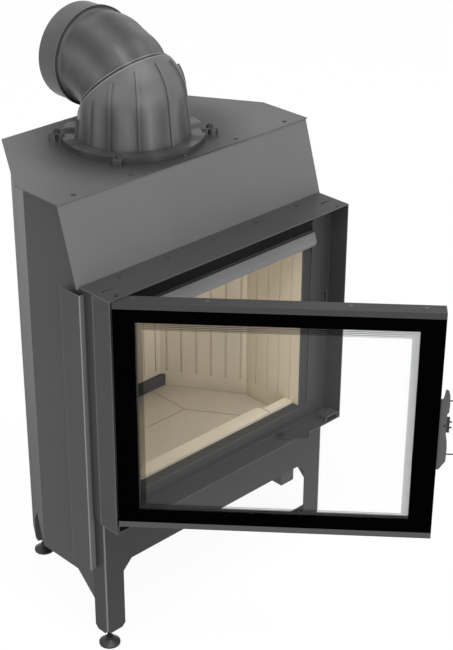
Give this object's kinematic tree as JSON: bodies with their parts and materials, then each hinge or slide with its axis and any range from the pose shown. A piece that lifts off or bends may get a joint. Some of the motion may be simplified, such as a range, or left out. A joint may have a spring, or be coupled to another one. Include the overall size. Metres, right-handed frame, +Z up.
{
  "type": "fireplace insert",
  "caption": "Built-in wood fireplace insert: steel casing on levelling feet, lined firebox, swinging glass door with a turning latch, air lever and a turning cast flue outlet.",
  "frame": {"origin": "on the floor, under the middle of the surround's front edge, which is also within a few millimetres of the middle of the bounding box with the door as drawn", "axes": "+X to the right of a person who faces the door, +Y back into the chimney breast, +Z up"},
  "size_m": [0.713, 1.0095, 1.3183],
  "materials": {
    "casing_steel": "matt heat-proof paint",
    "cast_iron": "matt heat-proof paint on a cast skin",
    "firebrick": "raw pressed board",
    "zinc": "zinc plated",
    "glass": "clear heat-proof glass with a black printed border",
    "rope": "woven glass rope",
    "black_paint": "black satin"
  },
  "bodies": {
    "casing": {"top_plate": "casing_steel", "side_wall_left": "casing_steel", "side_wall_right": "casing_steel", "chamfer_wall_left": "casing_steel", "chamfer_wall_right": "casing_steel", "rear_wall": "casing_steel", "hood_panel": "casing_steel", "front_flange_left": "casing_steel", "front_flange_right": "casing_steel", "side_strip_left": "casing_steel", "side_strip_right": "casing_steel", "front_apron": "casing_steel", "rear_foot_bracket_left": "casing_steel", "rear_foot_bracket_right": "casing_steel", "surround_top": "casing_steel", "surround_bottom": "casing_steel", "surround_left": "casing_steel", "surround_right": "casing_steel", "hinge_plates": "casing_steel", "seat_frame": "casing_steel", "firebox_shell": "casing_steel", "firebox_floor": "casing_steel", "lining_side_left": "firebrick", "lining_side_right": "firebrick", "lining_chamfer_left": "firebrick", "lining_chamfer_right": "firebrick", "lining_rear": "firebrick", "hearth_centre": "firebrick", "hearth_rear": "firebrick", "hearth_left": "firebrick", "hearth_right": "firebrick", "hearth_lip_left": "firebrick", "hearth_lip_right": "firebrick", "log_guard": "firebrick", "rear_air_bar": "casing_steel", "baffle_board": "firebrick", "air_wash_bar": "casing_steel", "air_box": "casing_steel", "casing_screws": "zinc", "weld_nuts": "zinc", "flue_clamps": "casing_steel", "clamp_bolts": "zinc", "lever_pivot": "zinc"},
    "door": {"door_frame": "casing_steel", "door_glass": "glass", "door_gasket": "rope", "hinge_pins": "zinc", "rail_screws": "zinc", "latch_plate": "casing_steel", "latch_studs": "zinc"},
    "latch": {"latch_cam": "black_paint"},
    "flue_base": {"flue_base": "cast_iron"},
    "flue_elbow": {"flue_elbow": "cast_iron"},
    "foot_front_left": {"foot_front_left": "zinc"},
    "foot_front_right": {"foot_front_right": "zinc"},
    "foot_rear_left": {"foot_rear_left": "zinc"},
    "foot_rear_right": {"foot_rear_right": "zinc"},
    "air_lever": {"air_lever": "casing_steel"}
  },
  "joints": [
    {"name": "door_hinge", "type": "hinge", "parent": "casing", "child": "door", "pos_m": [-0.322, 0.01, 0.622], "axis": [0, 0, -1], "range_deg": [-47.7, 45.3]},
    {"name": "latch_turn", "type": "hinge", "parent": "door", "child": "latch", "pos_m": [0.10968, -0.48818, 0.631], "axis": [-0.7396, -0.673, 0], "range_deg": [0, 90]},
    {"name": "flue_base_turn", "type": "hinge", "parent": "casing", "child": "flue_base", "pos_m": [0, 0.321, 1.0555], "axis": [0, 0, 1], "continuous": true},
    {"name": "flue_elbow_turn", "type": "hinge", "parent": "flue_base", "child": "flue_elbow", "pos_m": [0, 0.34221, 1.17021], "axis": [0, 0.7071, 0.7071], "continuous": true},
    {"name": "air_lever_turn", "type": "hinge", "parent": "casing", "child": "air_lever", "pos_m": [0.182, 0.033, 0.3402], "axis": [0, 0, 1], "range_deg": [-60, 30]},
    {"name": "foot_front_left_level", "type": "slide", "parent": "casing", "child": "foot_front_left", "axis": [0, 0, -1], "range_m": [-0.01, 0.025]},
    {"name": "foot_front_right_level", "type": "slide", "parent": "casing", "child": "foot_front_right", "axis": [0, 0, -1], "range_m": [-0.01, 0.025]},
    {"name": "foot_rear_left_level", "type": "slide", "parent": "casing", "child": "foot_rear_left", "axis": [0, 0, -1], "range_m": [-0.01, 0.025]},
    {"name": "foot_rear_right_level", "type": "slide", "parent": "casing", "child": "foot_rear_right", "axis": [0, 0, -1], "range_m": [-0.01, 0.025]}
  ]
}
